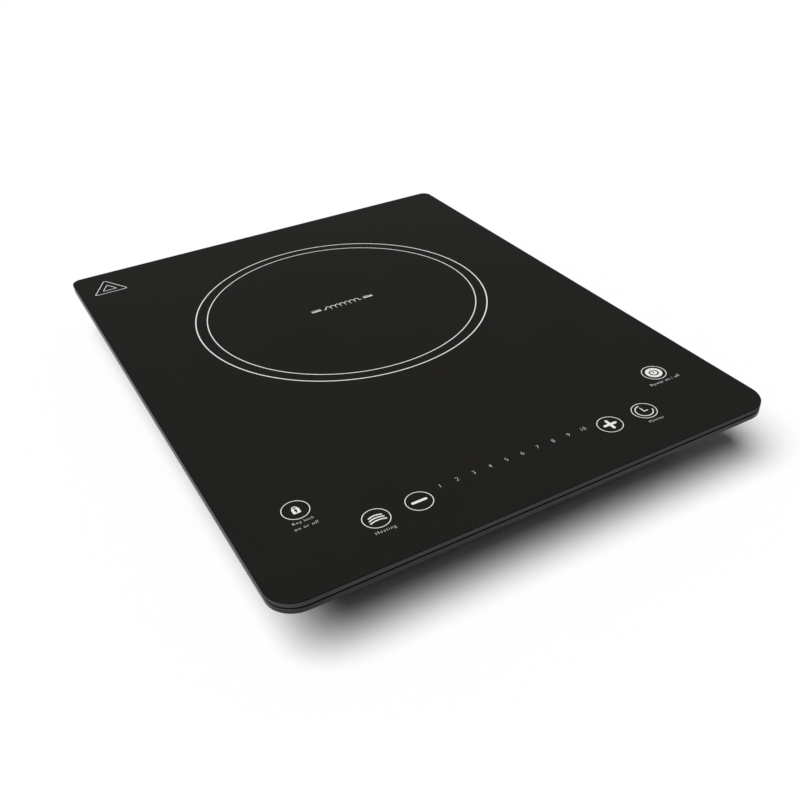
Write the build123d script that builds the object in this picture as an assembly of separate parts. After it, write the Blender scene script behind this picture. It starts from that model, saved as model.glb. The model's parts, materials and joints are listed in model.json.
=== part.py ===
from build123d import *
import os
from math import atan, cos, degrees, radians, sin

# A portable induction cooktop with one cooking zone, as the pieces it comes apart into.
# Millimetres. The origin is on the worktop under the middle of the glass: +X is the cook's right,
# +Y points away from the cook and +Z is up. The touch keys are along the front edge, at -Y.

# Outside
WIDTH = 285.0
DEPTH = 370.0
HEIGHT = 42.0
FRONT_CORNER_R = 15.0
BACK_CORNER_R = 6.5
GLASS_T = 3.3
GLASS_TOP_ROUND = 0.5
GLASS_LOW_EDGE = 0.85
BEAD_T = 0.4
BEAD_INSET = 2.4
BEAD_WIDTH = 6.6
FLANGE_T = 2.8
FLANGE_INSET = 0.2
FLANGE_TOP_EDGE = 0.2
FLANGE_LOW_EDGE = 0.4
FOOT_H = 6.0

# Lower housing: a drafted tub with a rim turned out under the flange
RIM_T = 2.4
RIM_INSET = 6.0
RIM_CORNER_R = 24.0
TUB_TOP_INSET = 16.0
TUB_BOTTOM_INSET = 30.0
TUB_TOP_R = 22.0
TUB_EDGE = 2.5
WALL_ACROSS = 2.7
FLOOR_T = 2.4
FLOOR_RIB_T = 1.8
FLOOR_RIB_H = 6.0

# Upper frame: its opening, the ribs that centre it in the housing, and its screw bosses
FRAME_OPENING_INSET = 24.0
FRAME_OPENING_R = 12.0
FRAME_BOSS_R = 4.0
FRAME_PILOT_DEPTH = 11.0
FRAME_PAD_HALF = 6.0
RIB_INSET = 18.9
RIB_T = 1.6
RIB_DROP = 2.0

# Heights that follow from the stack above
Z_GLASS = HEIGHT - GLASS_T
Z_FLANGE = Z_GLASS - BEAD_T
Z_RIM = Z_FLANGE - FLANGE_T
Z_TUB = Z_RIM - RIM_T
Z_FLOOR = FOOT_H + FLOOR_T
DRAFT = (TUB_BOTTOM_INSET - TUB_TOP_INSET) / (Z_TUB - FOOT_H)

# Cooking zone
ZONE_Y = 46.1
FORMER_R = 90.0
FORMER_T = 2.5
FORMER_SIDES = 16
FORMER_RIM = 6.0
FORMER_HUB_R = 27.0
FORMER_ARM_W = 15.0
FORMER_LUG_R = 6.0
HUB_HOLE_R = 9.0
WINDING_R = (26.0, 88.0)
WINDING_T = 3.5
WINDING_SIDES = 48
MICA_T = 0.6
MICA_R = 88.0
FERRITE = (52.0, 11.0, 4.5)
FERRITE_COUNT = 8
FERRITE_MID_R = 58.0
FERRITE_START = 22.5
COIL_LUG_R = 93.0
LEAD_ANGLE = 228.0
LEAD_R = 1.6
THIN_LEAD_R = 1.0
COIL_POSTS = ((-62.0, -95.0), (-55.0, -107.0))
POST_H = 6.0
POST_R = 3.2
SENSOR_LIP = 2.0
Z_WINDING = Z_GLASS - MICA_T - WINDING_T
Z_FORMER = Z_WINDING - FORMER_T
Z_FERRITE = Z_FORMER - FERRITE[2]
SENSOR_HALF = 2.5
SENSOR_DEPTH = 1.6
Z_SENSOR = Z_GLASS - MICA_T - SENSOR_DEPTH

# Controls: each key's place on the glass, in pairs at equal distances from the middle
KEY_ROW_Y = -154.4
KEY_UPPER_Y = -128.5
KEYS = {
    "lock": (-108.8, KEY_UPPER_Y),
    "level": (-79.6, KEY_ROW_Y),
    "minus": (-56.8, KEY_ROW_Y),
    "plus": (56.8, KEY_ROW_Y),
    "timer": (79.6, KEY_ROW_Y),
    "power": (108.8, KEY_UPPER_Y),
}
KEY_PAD = 9.0
KEY_PAD_EDGE = 1.5
LEVEL_COUNT = 10
LEVEL_PITCH = 9.52
LEVEL_Y = -150.0
BOARD_T = 1.6
CONTROL_BOARD = (236.0, 44.0)
CONTROL_BOARD_Y = -140.0
CONTROL_NOTCH = (22.0, 24.0)
CONTROL_SCREWS = ((-68.5, -156.0), (68.5, -156.0), (-92.0, -124.0), (92.0, -124.0))
CONTROLLER = (10.0, 10.0, 1.6)
CONTROLLER_Y = -129.0
Z_CONTROL = 28.2
SHIELD_W = 9.0
SHIELD_WALL = 1.5
SHIELD_GAP = 0.3
LEVEL_LIGHT = (3.2, 1.8, 1.4)

# Power electronics
POWER_BOARD_X = (-110.0, 14.0)
POWER_BOARD_Y = (-117.0, -30.0)
POWER_SCREW_EDGE = 6.0
Z_POWER = 14.2
Z_PARTS = Z_POWER + BOARD_T
SINK_X = (-50.0, 10.0)
SINK_Y = (-104.0, -56.0)
SINK_BASE_T = 3.0
SINK_LEG_H = 6.2
SINK_FINS = 9
SINK_FIN_T = 1.4
SINK_TOP = 36.5
CHIP_T = 4.8
CHIP_MID_Y = -80.0
CHIP_LENGTH = 21.0
CHIP_LEAD = (1.2, 0.8)
CHIP_LEAD_REACH = 4.0
CHIP_HEAD_GAP = 0.2
TRANSISTOR_LEGS = (16.0, 3, 5.4)
RECTIFIER_LEGS = (22.0, 4, 5.0)
TRANSISTOR_X = -32.0
RECTIFIER_X = -8.0

# What stands on the power board: the middle of each part, and its size
RESONANCE_CAPACITOR = ((-88.0, -78.0), (32.0, 18.0, 20.0))
LINK_CAPACITOR = ((-82.0, -101.0), (32.0, 18.0, 20.0))
MAINS_CAPACITOR = ((-91.0, -57.0), (26.0, 12.0, 17.0))
FILM_EDGE = 0.8
TRANSFORMER = ((-22.0, -43.0), (16.0, 9.0, 14.0))
BOBBIN = (11.0, 14.0, 10.0)
TERMINAL_BLOCK = ((-88.0, -39.0), (22.0, 12.0, 12.0))
TERMINAL_MOUTH = (7.0, 8.0, 6.0)
TERMINAL_MOUTH_Z = 2.0
TERMINAL_WELL = (4.0, 4.0, 3.0)
CHOKE_AT = (-61.0, -62.0)
CHOKE_R = (4.0, 10.0)
CHOKE_H = 11.0
BUZZER_AT = (-61.0, -82.0)
BUZZER_R = 5.5
BUZZER_H = 7.0
FUSE_AT = (-59.0, -41.0)
FUSE_R = 2.6
FUSE_LENGTH = 20.0
FUSE_CLIP = (4.0, 6.4, 4.2)
VARISTOR_AT = (-42.0, -41.0)
VARISTOR_R = 5.0
VARISTOR_T = 4.0
VARISTOR_LEGS = (6.0, 1.2, 3.0)
SMOOTHING_AT = ((-6.0, -49.0), (3.0, -49.0), (-3.0, -40.0))
SMOOTHING_R = 3.6
SMOOTHING_H = 10.0
SENSOR_HEADER = ((-14.0, -33.5), (8.0, 5.0, 6.0))
FAN_HEADER = ((10.0, -47.0), (5.0, 8.0, 6.0))

# Ribbon cable between the two boards
RIBBON_X = -20.0
RIBBON_ENDS = (-111.5, -124.0)
RIBBON_HEADER = (16.0, 6.0)
RIBBON_PLUG_H = 2.0
RIBBON_HALF = 6.0
RIBBON_LOW = 19.4
RIBBON_HIGH = 24.2

# Cooling fan: an 80 mm square axial fan over the intake grille
FAN_X = 62.0
FAN_Y = -78.0
FAN_SIZE = 80.0
FAN_DUCT_R = 38.0
FAN_T = 15.0
FAN_HOLE_PITCH = 71.5
FAN_HOLE_R = 2.2
FAN_POST_H = 1.5
FAN_CORNER = 4.0
FAN_STRUT_T = 2.0
FAN_STRUT_W = 5.0
MOTOR_PLATE_R = 17.0
FAN_LEAD_START_Y = -92.0
FAN_BLADES = 7
BLADE_PITCH = 33.0
BLADE_CHORD = 17.0
BLADE_CAMBER = 1.0
BLADE_T = 1.3
BLADE_TIP_R = 36.0
BLADE_WIDTHS = (8.0, 15.0)
HUB_R = 18.0
HUB_WALL = 1.5
HUB_SIDES = 24
HUB_GAP = (1.2, 0.5)
SHAFT_SLEEVE = (3.5, 1.5)
MAGNET_WALL = 2.2
MAGNET_GAP = 0.8
SHAFT_R = 1.5
SHAFT_CLEARANCE = 0.05
SHAFT_GAP = 0.3
CLIP_R = 2.3
CLIP_T = 0.4
BEARING_GAP = 1.0
BEARING_R = 3.0
BEARING_TUBE_R = 4.2
STATOR_R = 13.0
STATOR_H = 6.0
STATOR_SLOT = (7.6, 3.0)
Z_FAN = Z_FLOOR + FAN_POST_H
Z_SHAFT = Z_FAN + 2.0
Z_BEARING = Z_FAN + 4.5
Z_STRUT = Z_FAN + FAN_T - FAN_STRUT_T

# Intake grille in the floor, exhaust slots in the walls
GRILLE_SLOT = 3.6
GRILLE_PITCH = 6.4
GRILLE_ROWS = 11
GRILLE_SPINE = 4.0
SLOT_W = 3.6
SLOT_PITCH = 8.0
SLOT_Z = (13.0, 27.0)
REAR_SLOTS = (-32.0, 13)
SIDE_SLOTS = (-100.0, 8)

# Cord inlet: a pocket in the rear wall with a rubber bushing
INLET_X = -70.0
INLET_Z = 20.0
INLET_WALL_Y = 152.0
INLET_POCKET = (28.0, 20.0)
BUSHING_HALF = 6.0
BUSHING_BORE_R = 3.8
BUSHING_OUTER_LIP = 2.5
BUSHING_INNER_LIP = 2.0
BUSHING_BARB = 1.5
CLAMP_Y = 129.0
CLAMP_SPAN = 20.0
CLAMP_BAR = (28.0, 8.0, 5.5)
CLAMP_PINCH = 0.4

# Fasteners
CASE_SCREWS = ((-102, -144), (102, -144), (-104, -10), (104, -10), (-102, 144), (102, 144))
Z_CASE_SEAT = 12.0
Z_CASE_SPLIT = 20.0
M3_R = 1.5
M3_CLEAR_R = 1.7
M3_HEAD_R = 3.0
M3_HEAD_H = 1.9
HEAD_CLEARANCE = 0.4
CASE_BOSS_R = 5.0
BOSS_R = 4.0
SMALL_BOSS_R = 3.5
BITE = 5.5
SCREW_TIP = 0.5
PILOT_DEPTH = 8.0
ROOT_DEPTH = 1.0
FOOT_PLACES = {
    "front_left": (-88.0, -122.0),
    "front_right": (88.0, -122.0),
    "rear_left": (-88.0, 122.0),
    "rear_right": (88.0, 122.0),
}
FOOT_R = 9.0
FOOT_SIDES = 24
FOOT_BEVEL = 1.2
FOOT_RECESS = 0.6
FOOT_CLEARANCE = 0.3


def rod(x, y, low, high, radius):
    """An upright cylinder."""
    return Pos(x, y, low) * Cylinder(radius, high - low, align=(Align.CENTER, Align.CENTER, Align.MIN))


def post(x, y, low, high, radius, sides=6):
    """An upright prism with flat sides, radius being half its width across the flats."""
    return slab(Pos(x, y) * RegularPolygon(radius, sides, major_radius=False), low, high)


def block(x, y, z):
    """A box given by its (low, high) pair along each axis."""
    middle = ((x[0] + x[1]) / 2, (y[0] + y[1]) / 2, (z[0] + z[1]) / 2)
    return Pos(*middle) * Box(x[1] - x[0], y[1] - y[0], z[1] - z[0])


def standing(x, y, low, size):
    """A box of the given size that stands with its middle over x, y."""
    return Pos(x, y, low) * Box(*size, align=(Align.CENTER, Align.CENTER, Align.MIN))


def slab(outline, low, high):
    """An outline raised from one height to another."""
    return extrude(Pos(0, 0, low) * outline, amount=high - low)


def plan(inset, front_r, back_r):
    """The cooktop's outline drawn in by inset, softer at its front corners than at its back ones."""
    outline = Rectangle(WIDTH - 2 * inset, DEPTH - 2 * inset)
    outline = fillet(outline.vertices().group_by(Axis.Y)[0], front_r)
    return fillet(outline.vertices().group_by(Axis.Y)[-1], back_r)


def rounded(inset, radius):
    """The cooktop's outline drawn in by inset, with four equal corners."""
    return RectangleRounded(WIDTH - 2 * inset, DEPTH - 2 * inset, radius)


def screw(x, y, seat, length):
    """A screw driven downwards: its head stands on the seat."""
    return post(x, y, seat, seat + M3_HEAD_H, M3_HEAD_R) + post(x, y, seat - length, seat, M3_R)


def tube(points, radius):
    """An insulated lead that runs straight from point to point."""
    path = Polyline(*points)
    start = Plane(origin=path @ 0, z_dir=path % 0)
    return sweep(start * RegularPolygon(radius, 6), path=path, transition=Transition.RIGHT)


def tub(low, shift):
    """The drafted body of the housing down to a height, with every side moved in by shift."""
    top = Plane(origin=(0, 0, Z_RIM), x_dir=(1, 0, 0), z_dir=(0, 0, -1))
    top_inset = TUB_TOP_INSET - DRAFT * (Z_RIM - Z_TUB)
    outline = top * rounded(top_inset + shift, TUB_TOP_R + DRAFT * (Z_RIM - Z_TUB) - shift)
    return extrude(outline, amount=Z_RIM - low, taper=degrees(atan(DRAFT)))


# Glass and case ------------------------------------------------------------------------------


def glass_plate():
    """The glass-ceramic top, with a ground edge: rounded above and bevelled below."""
    plate = slab(plan(0, FRONT_CORNER_R, BACK_CORNER_R), Z_GLASS, HEIGHT)
    plate = fillet(plate.faces().sort_by(Axis.Z)[-1].edges(), GLASS_TOP_ROUND)
    return chamfer(plate.faces().sort_by(Axis.Z)[0].edges(), GLASS_LOW_EDGE)


def silicone_bead():
    """The bead that glues the glass to the frame, set back so that it shows as a dark gap."""
    outline = plan(BEAD_INSET, FRONT_CORNER_R - BEAD_INSET, BACK_CORNER_R - BEAD_INSET)
    inner = BEAD_INSET + BEAD_WIDTH
    return slab(outline - Rectangle(WIDTH - 2 * inner, DEPTH - 2 * inner), Z_FLANGE, Z_GLASS)


def upper_frame():
    """The flange under the glass, with a locating skirt and the bosses that the case screws bite."""
    outline = plan(FLANGE_INSET, FRONT_CORNER_R - FLANGE_INSET, BACK_CORNER_R - FLANGE_INSET)
    flange = slab(outline, Z_RIM, Z_FLANGE)
    flange = chamfer(flange.edges().group_by(Axis.Z)[-1], FLANGE_TOP_EDGE)
    flange = chamfer(flange.edges().group_by(Axis.Z)[0], FLANGE_LOW_EDGE)
    flange -= slab(rounded(FRAME_OPENING_INSET, FRAME_OPENING_R), Z_RIM, Z_FLANGE)
    frame = flange + locating_ribs()
    for x, y in CASE_SCREWS:
        frame += case_screw_pad(x, y)
    for x, y in CASE_SCREWS:
        frame += post(x, y, Z_CASE_SPLIT, Z_RIM, FRAME_BOSS_R)
        frame -= post(x, y, Z_CASE_SPLIT, Z_CASE_SPLIT + FRAME_PILOT_DEPTH, M3_R)
    return frame


def locating_ribs():
    """A rib along each side of the frame that drops inside the housing's wall and centres it."""
    half_x = WIDTH / 2 - RIB_INSET
    half_y = DEPTH / 2 - RIB_INSET
    low = Z_RIM - RIB_DROP
    ribs = Part()
    for side in (-1, 1):
        middle = side * (half_x - RIB_T / 2)
        ribs += standing(middle, 0, low, (RIB_T, 2 * half_y - 2 * TUB_TOP_R, RIB_DROP))
        middle = side * (half_y - RIB_T / 2)
        ribs += standing(0, middle, low, (2 * half_x - 2 * TUB_TOP_R, RIB_T, RIB_DROP))
    return ribs


def case_screw_pad(x, y):
    """The shelf that ties a boss to the flange, square in the corners and straight at the sides."""
    half = FRAME_PAD_HALF
    out_x = WIDTH / 2 - FRAME_OPENING_INSET + 1
    x_span = (x - half, out_x) if x > 0 else (-out_x, x + half)
    if abs(y) < DEPTH / 4:
        return block(x_span, (y - half, y + half), (Z_RIM, Z_FLANGE))
    out_y = DEPTH / 2 - FRAME_OPENING_INSET + 1
    y_span = (y - half, out_y) if y > 0 else (-out_y, y + half)
    return block(x_span, y_span, (Z_RIM, Z_FLANGE))


def lower_housing():
    """The moulded tub: drafted walls, turned-out rim, bosses, grille, louvres and cord pocket."""
    shell = tub(FOOT_H, 0)
    shell = chamfer(shell.edges().group_by(Axis.Z)[0], TUB_EDGE)
    shell += slab(rounded(RIM_INSET, RIM_CORNER_R), Z_TUB, Z_RIM)
    shell -= tub(Z_FLOOR, WALL_ACROSS)
    shell += inlet_pocket_walls()
    shell -= inlet_pocket_space()
    shell += floor_ribs()
    for x, y, top, radius in boss_list():
        shell += post(x, y, Z_FLOOR - ROOT_DEPTH, top, radius)
    shell += control_posts()
    for x, y, bottom, top, radius in pilot_list():
        shell -= post(x, y, bottom, top, radius)
    for x, y in CASE_SCREWS:
        shell -= post(x, y, FOOT_H, Z_CASE_SEAT, M3_HEAD_R + HEAD_CLEARANCE)
    for x, y in FOOT_PLACES.values():
        shell -= post(x, y, FOOT_H, FOOT_H + FOOT_RECESS, FOOT_R + FOOT_CLEARANCE, FOOT_SIDES)
    shell -= grille_slots()
    return shell - wall_slots()


def floor_ribs():
    """Low ribs that join the coil's four bosses and run on to the side walls."""
    half_t = FLOOR_RIB_T / 2
    reach = COIL_LUG_R * cos(radians(45))
    z_span = (Z_FLOOR - ROOT_DEPTH, Z_FLOOR + FLOOR_RIB_H)
    ribs = Part()
    for side in (-1, 1):
        y = ZONE_Y + side * reach
        ribs += block((-WIDTH / 2, WIDTH / 2), (y - half_t, y + half_t), z_span)
        x = side * reach
        ribs += block((x - half_t, x + half_t), (ZONE_Y - reach, ZONE_Y + reach), z_span)
    return ribs & tub(z_span[0], WALL_ACROSS / 2)


def boss_list():
    """Each boss that stands on the floor: x, y, top and radius."""
    bosses = [(x, y, Z_CASE_SPLIT, CASE_BOSS_R) for x, y in CASE_SCREWS]
    bosses += [(x, y, Z_POWER, SMALL_BOSS_R) for x, y in power_screw_places()]
    bosses += [(x, y, Z_FAN, BOSS_R) for x, y in fan_screw_places()]
    bosses += [(x, y, Z_FORMER, BOSS_R) for x, y in coil_screw_places()]
    bosses += [(x, y, INLET_Z, SMALL_BOSS_R) for x, y in clamp_screw_places()]
    return bosses


def control_posts():
    """The posts under the control board: the front pair grows out of the sloping front wall."""
    posts = Part()
    for x, y in CONTROL_SCREWS:
        posts += post(x, y, Z_FLOOR - ROOT_DEPTH, Z_CONTROL, SMALL_BOSS_R)
    return posts & tub(Z_FLOOR - ROOT_DEPTH, WALL_ACROSS / 2)


def pilot_list():
    """Each screw hole in the bosses: x, y, bottom, top and radius."""
    holes = [(x, y, Z_CASE_SEAT, Z_CASE_SPLIT, M3_CLEAR_R) for x, y in CASE_SCREWS]
    holes += [(x, y, Z_POWER - BITE - SCREW_TIP, Z_POWER, M3_R) for x, y in power_screw_places()]
    holes += [(x, y, Z_FLOOR - ROOT_DEPTH, Z_FAN, M3_R) for x, y in fan_screw_places()]
    holes += [(x, y, Z_FORMER - PILOT_DEPTH, Z_FORMER, M3_R) for x, y in coil_screw_places()]
    holes += [(x, y, INLET_Z - PILOT_DEPTH, INLET_Z, M3_R) for x, y in clamp_screw_places()]
    holes += [(x, y, Z_CONTROL - PILOT_DEPTH, Z_CONTROL, M3_R) for x, y in CONTROL_SCREWS]
    return holes


def inlet_pocket_walls():
    """The box of wall that carries the inlet's upright face inside the sloping rear wall."""
    half = INLET_POCKET[0] / 2 + RIM_T
    low = INLET_Z - INLET_POCKET[1] / 2 - RIM_T
    box = block(
        (INLET_X - half, INLET_X + half),
        (INLET_WALL_Y - RIM_T, DEPTH / 2),
        (low, INLET_Z + INLET_POCKET[1] / 2 + RIM_T),
    )
    return box & tub(FOOT_H, 0)


def inlet_pocket_space():
    """The pocket itself, open to the rear, and the hole that the bushing snaps into."""
    half_x, half_z = INLET_POCKET[0] / 2, INLET_POCKET[1] / 2
    pocket = block(
        (INLET_X - half_x, INLET_X + half_x),
        (INLET_WALL_Y, DEPTH / 2),
        (INLET_Z - half_z, INLET_Z + half_z),
    )
    return pocket + inlet_block(INLET_WALL_Y - RIM_T, INLET_WALL_Y, BUSHING_HALF)


def inlet_block(start, end, half):
    """A square block along the cord's way through the rear wall."""
    return block((INLET_X - half, INLET_X + half), (start, end), (INLET_Z - half, INLET_Z + half))


def along_y(start, end, radius):
    """A cylinder along the cord's way through the rear wall."""
    turned = Rot(-90, 0, 0) * Cylinder(radius, end - start, align=(Align.CENTER, Align.CENTER, Align.MIN))
    return Pos(INLET_X, start, INLET_Z) * turned


def grille_slots():
    """Rows of slots under the fan that fill its circle, with a spine down the middle."""
    slots = Part()
    for index in range(GRILLE_ROWS):
        across = GRILLE_PITCH * (index - (GRILLE_ROWS - 1) / 2)
        reach = (FAN_DUCT_R**2 - (abs(across) + GRILLE_SLOT / 2) ** 2) ** 0.5
        length = reach - GRILLE_SPINE / 2
        for side in (-1, 1):
            middle = FAN_X + side * (reach + GRILLE_SPINE / 2) / 2
            slots += standing(middle, FAN_Y + across, FOOT_H, (length, GRILLE_SLOT, FLOOR_T))
    return slots


def wall_slots():
    """Exhaust slots through the sloping rear wall and both side walls."""
    slots = Part()
    across = TUB_BOTTOM_INSET - TUB_TOP_INSET + 2 * WALL_ACROSS
    height = SLOT_Z[1] - SLOT_Z[0]
    middle_inset = (TUB_BOTTOM_INSET + TUB_TOP_INSET) / 2
    first, count = REAR_SLOTS
    for index in range(count):
        x = first + SLOT_PITCH * index
        slots += standing(x, DEPTH / 2 - middle_inset, SLOT_Z[0], (SLOT_W, across, height))
    first, count = SIDE_SLOTS
    for index in range(count):
        y = first + SLOT_PITCH * index
        for side in (-1, 1):
            x = side * (WIDTH / 2 - middle_inset)
            slots += standing(x, y, SLOT_Z[0], (across, SLOT_W, height))
    return slots


def foot(x, y):
    """A rubber foot with a bevelled sole, glued into its recess."""
    body = post(x, y, 0, FOOT_H + FOOT_RECESS, FOOT_R, FOOT_SIDES)
    return chamfer(body.edges().group_by(Axis.Z)[0], FOOT_BEVEL)


def case_screws():
    """The screws driven up through the floor into the frame's bosses."""
    screws = []
    for x, y in CASE_SCREWS:
        head = post(x, y, Z_CASE_SEAT - M3_HEAD_H, Z_CASE_SEAT, M3_HEAD_R)
        screws.append(head + post(x, y, Z_CASE_SEAT, Z_CASE_SPLIT + FRAME_PILOT_DEPTH - SCREW_TIP, M3_R))
    return Compound(screws)


def cord_bushing():
    """The square rubber bushing that lines the cord's hole, with a lip on each side of the wall."""
    inside, outside = INLET_WALL_Y - RIM_T - BUSHING_INNER_LIP, INLET_WALL_Y + BUSHING_OUTER_LIP
    body = inlet_block(inside, outside, BUSHING_HALF)
    lip = inlet_block(INLET_WALL_Y, outside, BUSHING_HALF + BUSHING_OUTER_LIP)
    body += chamfer(lip.edges().filter_by(Axis.Y), BUSHING_OUTER_LIP)
    body += inlet_block(inside, INLET_WALL_Y - RIM_T, BUSHING_HALF + BUSHING_BARB)
    return body - along_y(inside, outside, BUSHING_BORE_R)


def clamp_screw_places():
    """The two screws of the inner cord clamp."""
    return [(INLET_X - CLAMP_SPAN / 2, CLAMP_Y), (INLET_X + CLAMP_SPAN / 2, CLAMP_Y)]


def cord_clamp():
    """The bar that would pinch the cord inside the case."""
    bar = standing(INLET_X, CLAMP_Y, INLET_Z, CLAMP_BAR)
    bar -= along_y(CLAMP_Y - CLAMP_BAR[1], CLAMP_Y + CLAMP_BAR[1], BUSHING_BORE_R - CLAMP_PINCH)
    for x, y in clamp_screw_places():
        bar -= post(x, y, INLET_Z, INLET_Z + CLAMP_BAR[2], M3_CLEAR_R)
    return bar


def cord_clamp_screws():
    thickness = CLAMP_BAR[2]
    return Compound([screw(x, y, INLET_Z + thickness, thickness + BITE) for x, y in clamp_screw_places()])


# Induction coil ------------------------------------------------------------------------------


def around_zone(count, start=0.0):
    """Equal angles round the cooking zone, in degrees."""
    return [start + 360 * index / count for index in range(count)]


def zone_point(radius, angle):
    """A point on a circle round the zone's middle."""
    return radius * cos(radians(angle)), ZONE_Y + radius * sin(radians(angle))


def coil_screw_places():
    return [zone_point(COIL_LUG_R, angle) for angle in around_zone(4, 45)]


def many_sided(radius):
    """The sixteen-sided outline that the former, its hub and the mica share."""
    return RegularPolygon(radius, FORMER_SIDES, major_radius=False)


def coil_former():
    """The moulded spider that carries the winding: hub, rim, arms and four fixing lugs."""
    spider = many_sided(FORMER_R) - many_sided(HUB_HOLE_R)
    window = RegularPolygon(FORMER_R - FORMER_RIM, FERRITE_COUNT)
    window -= RegularPolygon(FORMER_HUB_R, FERRITE_COUNT)
    for angle in around_zone(FERRITE_COUNT, FERRITE_START)[: FERRITE_COUNT // 2]:
        window -= Rot(0, 0, angle) * Rectangle(3 * FORMER_R, FORMER_ARM_W)
    spider -= window
    plate = slab(Pos(0, ZONE_Y) * spider, Z_FORMER, Z_WINDING)
    for x, y in coil_screw_places():
        plate += post(x, y, Z_FORMER, Z_WINDING, FORMER_LUG_R)
    for x, y in coil_screw_places():
        plate -= post(x, y, Z_FORMER, Z_WINDING, M3_CLEAR_R)
    return plate


def coil_winding():
    """The flat spiral of litz wire, as the outer shape of all its turns."""
    inner, outer = (RegularPolygon(radius, WINDING_SIDES, major_radius=False) for radius in WINDING_R)
    return slab(Pos(0, ZONE_Y) * (outer - inner), Z_WINDING, Z_WINDING + WINDING_T)


def ferrite_bars():
    """The bars under the former's arms that close the field below the coil."""
    bars = []
    for angle in around_zone(FERRITE_COUNT, FERRITE_START):
        x, y = zone_point(FERRITE_MID_R, angle)
        bars.append(Pos(x, y, Z_FERRITE + FERRITE[2] / 2) * Rot(0, 0, angle) * Box(*FERRITE))
    return Compound(bars)


def mica_sheet():
    """The insulating sheet between the winding and the glass."""
    outline = many_sided(MICA_R) - many_sided(HUB_HOLE_R)
    return slab(Pos(0, ZONE_Y) * outline, Z_GLASS - MICA_T, Z_GLASS)


def coil_screws():
    return Compound([screw(x, y, Z_WINDING, FORMER_T + BITE) for x, y in coil_screw_places()])


def sensor_holder():
    """The silicone plug in the coil's hub that presses the temperature sensor to the glass."""
    plug = slab(Pos(0, ZONE_Y) * many_sided(HUB_HOLE_R), Z_FORMER, Z_GLASS - MICA_T)
    plug += slab(Pos(0, ZONE_Y) * many_sided(HUB_HOLE_R + SENSOR_LIP), Z_FORMER - SENSOR_LIP, Z_FORMER)
    return plug - post(0, ZONE_Y, Z_SENSOR, Z_GLASS - MICA_T, SENSOR_HALF, 4)


def glass_sensor():
    """The thermistor bead that reads the glass from below."""
    return post(0, ZONE_Y, Z_SENSOR, Z_GLASS, SENSOR_HALF, 4)


def coil_lead_outer():
    """The lead from the outside of the winding to its post on the power board."""
    height = Z_WINDING + WINDING_T / 2
    start = (*zone_point(WINDING_R[1] + 0.1, LEAD_ANGLE), height)
    turn = (*zone_point(WINDING_R[1] + 9, LEAD_ANGLE), height)
    points = [start, turn, (-68, -56, 33), (-64, -80, 31), (*COIL_POSTS[0], 29)]
    points.append((*COIL_POSTS[0], Z_PARTS + POST_H))
    return tube(points, LEAD_R)


def coil_lead_inner():
    """The lead from the middle of the winding, under the ferrites, to its post."""
    start = zone_point(WINDING_R[0] + 6, LEAD_ANGLE)
    points = [(*start, Z_WINDING), (*start, 24), (-46, -24, 24), (-53, -48, 30), (-54, -84, 31)]
    points += [(*COIL_POSTS[1], 29), (*COIL_POSTS[1], Z_PARTS + POST_H)]
    return tube(points, LEAD_R)


def coil_posts():
    """The brass posts on the power board where the coil's leads end."""
    return Compound([post(x, y, Z_PARTS, Z_PARTS + POST_H, POST_R) for x, y in COIL_POSTS])


def sensor_lead():
    """The thin lead from the glass sensor's holder to its header."""
    end, size = SENSOR_HEADER
    low = Z_FORMER - SENSOR_LIP
    points = [(0, ZONE_Y, low), (0, ZONE_Y, 23), (*end, 27), (*end, Z_PARTS + size[2])]
    return tube(points, THIN_LEAD_R)


# Power board ---------------------------------------------------------------------------------


def power_screw_places():
    x = (POWER_BOARD_X[0] + POWER_SCREW_EDGE, POWER_BOARD_X[1] - POWER_SCREW_EDGE)
    y = (POWER_BOARD_Y[0] + POWER_SCREW_EDGE, POWER_BOARD_Y[1] - POWER_SCREW_EDGE)
    return [(x[0], y[0]), (x[1], y[0]), (x[0], y[1]), (x[1], y[1])]


def power_board():
    """The power board with its ribbon, fan and sensor headers."""
    board = block(POWER_BOARD_X, POWER_BOARD_Y, (Z_POWER, Z_PARTS))
    for x, y in power_screw_places():
        board -= post(x, y, Z_POWER, Z_PARTS, M3_CLEAR_R)
    board += standing(RIBBON_X, RIBBON_ENDS[0], Z_PARTS, (*RIBBON_HEADER, RIBBON_LOW - Z_PARTS))
    for middle, size in (SENSOR_HEADER, FAN_HEADER):
        board += standing(*middle, Z_PARTS, size)
    return board


def power_board_screws():
    return Compound([screw(x, y, Z_PARTS, BOARD_T + BITE) for x, y in power_screw_places()])


def heat_sink():
    """The extruded heat sink: two legs, a base over the chips and fins along the air's way."""
    low = Z_PARTS + SINK_LEG_H
    profile = block(SINK_X, SINK_Y, (low, low + SINK_BASE_T))
    for y in (SINK_Y[0], SINK_Y[1] - SINK_BASE_T):
        profile += block(SINK_X, (y, y + SINK_BASE_T), (Z_PARTS, low))
    pitch = (SINK_Y[1] - SINK_Y[0] - SINK_FIN_T) / (SINK_FINS - 1)
    for index in range(SINK_FINS):
        y = SINK_Y[0] + pitch * index
        profile += block(SINK_X, (y, y + SINK_FIN_T), (low + SINK_BASE_T, SINK_TOP))
    for x in (TRANSISTOR_X, RECTIFIER_X):
        profile -= post(x, CHIP_MID_Y, low, low + SINK_BASE_T, M3_R)
    return profile


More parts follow.
